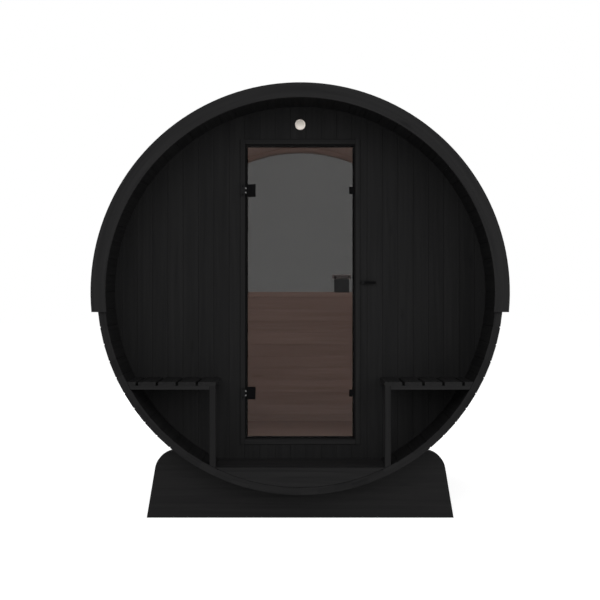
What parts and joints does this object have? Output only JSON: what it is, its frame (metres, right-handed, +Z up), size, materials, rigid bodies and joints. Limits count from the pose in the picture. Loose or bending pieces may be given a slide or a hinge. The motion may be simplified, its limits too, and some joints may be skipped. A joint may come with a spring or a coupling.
{
  "type": "barrel sauna",
  "caption": "Black stained barrel sauna on two cradles, with a small porch, slatted benches, a tinted glass door and a half-moon rear window.",
  "frame": {"origin": "on the ground under the middle of the barrel", "axes": "+X right seen from the porch, +Y from the porch to the rear, +Z up"},
  "size_m": [2.3078, 2.44, 2.4388],
  "materials": {
    "black_wood": "black stained softwood boards, matt",
    "room_wood": "bare heat-treated softwood",
    "roofing": "black mineral-faced roofing",
    "tinted_glass": "grey tinted safety glass",
    "black_metal": "matt black coated steel",
    "lamp_trim": "white lacquer",
    "lamp_lens": "opal plastic"
  },
  "bodies": {
    "building": {"staves_top": "black_wood", "staves_shoulder": "black_wood", "staves_upper_side": "black_wood", "staves_side": "black_wood", "staves_lower_side": "black_wood", "staves_haunch": "black_wood", "staves_bottom": "black_wood", "front_cradle": "black_wood", "rear_cradle": "black_wood", "eave_battens": "black_wood", "front_fascia": "black_wood", "rear_fascia": "black_wood", "front_wall_left": "black_wood", "front_wall_right": "black_wood", "front_wall_over_door": "black_wood", "front_wall_under_door": "black_wood", "door_jamb_left": "black_wood", "door_jamb_right": "black_wood", "door_head": "black_wood", "door_threshold": "black_wood", "porch_floor": "black_wood", "porch_floor_front": "black_wood", "bench_seat_left": "black_wood", "bench_seat_right": "black_wood", "bench_front_rails": "black_wood", "bench_wall_rails": "black_wood", "bench_posts": "black_wood", "rear_wall": "black_wood", "window_frame": "black_wood", "roof_crown": "roofing", "roof_upper": "roofing", "roof_side": "roofing", "roof_eave": "roofing", "room_floor": "room_wood", "window_sill": "room_wood", "window_glass": "tinted_glass", "hoops": "black_metal", "hinge_leaves": "black_metal", "turn_button_pivot": "black_metal", "lamp_trim": "lamp_trim", "lamp_lens": "lamp_lens"},
    "door": {"door_glass": "tinted_glass", "hinge_clamps": "black_metal", "door_clips": "black_metal", "door_pull": "black_metal", "door_grip": "room_wood"},
    "button": {"turn_button": "black_metal"}
  },
  "joints": [
    {"name": "door_swing", "type": "hinge", "parent": "building", "child": "door", "pos_m": [-0.3165, -0.846, 1.285], "axis": [0, 0, -1], "range_deg": [0, 100]},
    {"name": "button_turn", "type": "hinge", "parent": "building", "child": "button", "pos_m": [0.366, -0.861, 1.34], "axis": [0, 1, 0], "range_deg": [-180, 0]}
  ]
}
